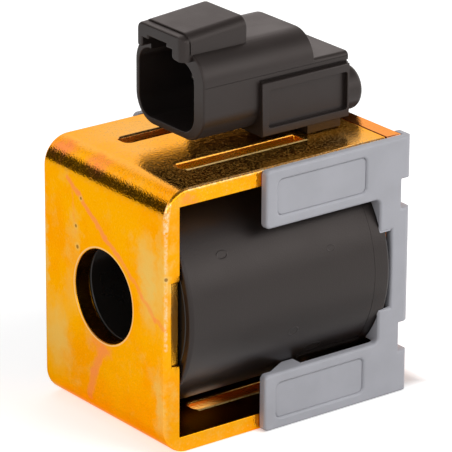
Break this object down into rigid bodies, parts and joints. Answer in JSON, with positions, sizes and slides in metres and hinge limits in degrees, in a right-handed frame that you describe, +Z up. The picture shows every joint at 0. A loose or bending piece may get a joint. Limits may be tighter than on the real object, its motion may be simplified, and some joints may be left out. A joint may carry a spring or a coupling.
{
  "type": "solenoid valve coil",
  "caption": "Cartridge-valve solenoid coil: folded steel yoke, loose end plate, grey side clips, black moulded coil and two-pin plug connector",
  "frame": {"origin": "On the bore axis, in the outer face of the yoke's front plate", "axes": "+X along the bore from the front plate to the end plate, +Z up to the connector, +Y to the left when looking along +X with +Z up"},
  "size_m": [0.0518, 0.0397, 0.0686],
  "materials": {
    "yellow_zinc_steel": "yellow passivated zinc, satin",
    "grey_plastic": "moulded, matt",
    "black_plastic": "moulded glass-filled nylon, satin",
    "bobbin_plastic": "moulded",
    "copper_wire": "enamelled copper",
    "tape": "polyester film",
    "plated_brass": "tin plated"
  },
  "bodies": {
    "frame": {"yoke_frame": "yellow_zinc_steel"},
    "coil": {"coil_jacket": "black_plastic", "connector_housing": "black_plastic", "bobbin": "bobbin_plastic", "winding": "copper_wire", "winding_tape": "tape", "start_lead": "copper_wire", "finish_lead": "copper_wire", "terminal_near": "plated_brass", "terminal_far": "plated_brass"},
    "plate": {"end_plate": "yellow_zinc_steel"},
    "near_clip": {"clip_near": "grey_plastic"},
    "far_clip": {"clip_far": "grey_plastic"}
  },
  "joints": [
    {"name": "coil_slide", "type": "slide", "parent": "frame", "child": "coil", "axis": [1, 0, 0], "range_m": [0, 0.045]},
    {"name": "plate_slide", "type": "slide", "parent": "coil", "child": "plate", "axis": [1, 0, 0], "range_m": [0, 0.025]},
    {"name": "near_clip_slide", "type": "slide", "parent": "plate", "child": "near_clip", "axis": [0, -1, 0], "range_m": [0, 0.008]},
    {"name": "far_clip_slide", "type": "slide", "parent": "plate", "child": "far_clip", "axis": [0, 1, 0], "range_m": [0, 0.008]}
  ]
}
